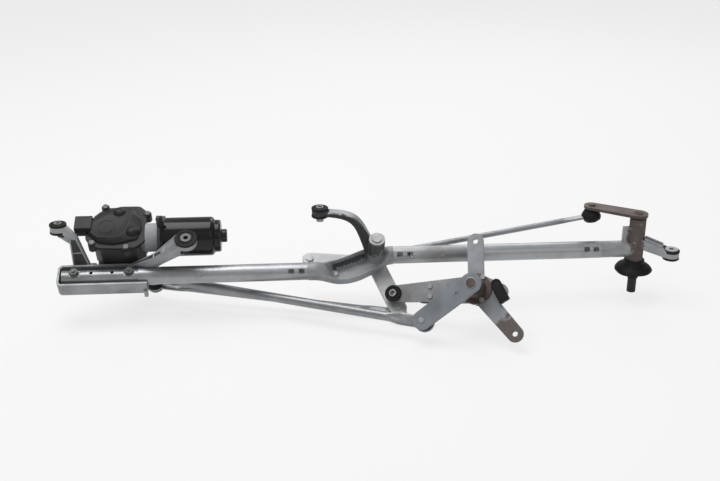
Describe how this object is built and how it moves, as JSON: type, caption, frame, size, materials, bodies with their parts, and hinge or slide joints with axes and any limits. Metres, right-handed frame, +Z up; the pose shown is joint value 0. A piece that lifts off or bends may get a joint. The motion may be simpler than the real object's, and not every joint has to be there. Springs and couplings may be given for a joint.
{
  "type": "wiper linkage",
  "caption": "Windscreen wiper linkage with its motor: tube frame on rubber mounts, cast pivot housings, crank, ball-jointed rods, bell crank and levers",
  "frame": {"origin": "the centre of the right wiper spindle's lower end, which stands on the table", "axes": "+X runs along the frame tubes from the motor to the right spindle, +Y away from the viewer, +Z up along the right spindle"},
  "size_m": [0.8621, 0.2246, 0.1484],
  "materials": {
    "cast_aluminium": "sand-blasted die cast, dusty",
    "zinc_tube": "dull zinc plate, scuffed",
    "plated_steel": "bright zinc plate",
    "rubber_black": "matte",
    "plastic_black": "matte moulded",
    "can_paint": "gloss black paint",
    "oxidised_steel": "brown oxide film",
    "core_iron": "dark iron",
    "copper_wire": "lacquered copper",
    "bronze_bush": "sintered bronze",
    "wheel_plastic": "cream moulded"
  },
  "bodies": {
    "frame": {"motor_bracket": "cast_aluminium", "left_arm": "cast_aluminium", "tube_stub": "zinc_tube", "bracket_bolts": "plated_steel", "left_frame_tube": "zinc_tube", "centre_casting": "cast_aluminium", "right_frame_tube": "zinc_tube", "right_pivot_housing": "cast_aluminium", "left_grommet": "rubber_black", "left_sleeve": "plated_steel", "motor_grommet": "rubber_black", "motor_sleeve": "plated_steel", "centre_grommet": "rubber_black", "centre_sleeve": "plated_steel", "right_grommet": "rubber_black", "right_sleeve": "plated_steel", "gear_case": "cast_aluminium", "gear_cover": "plastic_black", "motor_screws": "plated_steel", "connector_pins": "bronze_bush", "motor_can": "can_paint", "field_magnets": "core_iron", "brushes": "core_iron", "output_bush": "bronze_bush", "rear_bush": "bronze_bush", "pivot_bushes": "bronze_bush", "dust_cap": "rubber_black"},
    "crank": {"output_shaft": "plated_steel", "worm_wheel": "wheel_plastic", "crank_arm": "zinc_tube", "crank_nut": "plated_steel", "crank_ball_pin": "plated_steel"},
    "armature": {"armature_shaft": "plated_steel", "armature_core": "core_iron", "armature_windings": "copper_wire", "commutator": "copper_wire"},
    "front_rod": {"front_rod": "zinc_tube", "front_rod_sockets": "plastic_black"},
    "rear_rod": {"rear_rod": "zinc_tube", "rear_rod_sockets": "plastic_black", "rear_rod_stud": "plated_steel"},
    "link_rod": {"link_rod": "zinc_tube", "link_rod_sockets": "plastic_black", "link_rod_stud": "plated_steel"},
    "bell_crank": {"bell_crank": "zinc_tube", "bell_crank_shaft": "plated_steel", "bell_crank_washer": "plated_steel", "bell_crank_ball": "plated_steel"},
    "right_lever": {"right_lever": "oxidised_steel", "right_spindle": "oxidised_steel"},
    "swing_lever": {"swing_lever": "zinc_tube", "swing_spindle": "oxidised_steel", "swing_ball": "plated_steel"},
    "swing_bracket": {"swing_housing": "oxidised_steel", "swing_bracket": "plated_steel", "swing_arm_plate": "plated_steel", "swing_rivets": "plated_steel", "swing_grommet": "rubber_black", "swing_sleeve": "plated_steel", "swing_seal": "rubber_black"}
  },
  "joints": [
    {"name": "crank_turn", "type": "hinge", "parent": "frame", "child": "crank", "pos_m": [-0.7078, 0.0392, 0.08598], "axis": [0, 0.454, -0.891], "range_deg": [0, 85]},
    {"name": "armature_spin", "type": "hinge", "parent": "frame", "child": "armature", "pos_m": [-0.658, 0.00511, 0.10003], "axis": [1, 0, 0], "range_deg": [0, 4251]},
    {"name": "bell_turn", "type": "hinge", "parent": "frame", "child": "bell_crank", "pos_m": [-0.366, 0.00267, 0.06736], "axis": [0, 0.454, -0.891], "range_deg": [0, 42]},
    {"name": "rear_rod_turn", "type": "hinge", "parent": "crank", "child": "rear_rod", "pos_m": [-0.67669, 0.04149, 0.01295], "axis": [0, 0.454, -0.891], "range_deg": [-86.4, 0]},
    {"name": "front_rod_turn", "type": "hinge", "parent": "crank", "child": "front_rod", "pos_m": [-0.67669, 0.03441, 0.02686], "axis": [0, 0.454, -0.891], "range_deg": [-85.5, 0]},
    {"name": "right_lever_turn", "type": "hinge", "parent": "frame", "child": "right_lever", "pos_m": [0, 0, 0], "axis": [0, 0, -1], "range_deg": [0, 38]},
    {"name": "link_rod_turn", "type": "hinge", "parent": "bell_crank", "child": "link_rod", "pos_m": [-0.45731, 0.03091, 0.03663], "axis": [-0.019, -0.4135, 0.9103], "range_deg": [0, 37.3]},
    {"name": "swing_lever_turn", "type": "hinge", "parent": "front_rod", "child": "swing_lever", "pos_m": [-0.31027, -0.10778, 0.01516], "axis": [-0.3767, -0.682, 0.6269], "range_deg": [-8, 2]},
    {"name": "swing_pivot_turn", "type": "hinge", "parent": "swing_lever", "child": "swing_bracket", "pos_m": [-0.252, -0.11, 0.072], "axis": [-0.3767, -0.682, 0.6269], "range_deg": [-12, 1]}
  ],
  "couplings": [
    {"joint": "armature_spin", "follows": "crank_turn", "ratio": 50},
    {"joint": "bell_turn", "follows": "crank_turn", "ratio": 0.48822},
    {"joint": "rear_rod_turn", "follows": "crank_turn", "ratio": -1.0108},
    {"joint": "front_rod_turn", "follows": "crank_turn", "ratio": -1},
    {"joint": "right_lever_turn", "follows": "crank_turn", "ratio": 0.44136},
    {"joint": "link_rod_turn", "follows": "crank_turn", "ratio": 0.43262}
  ]
}
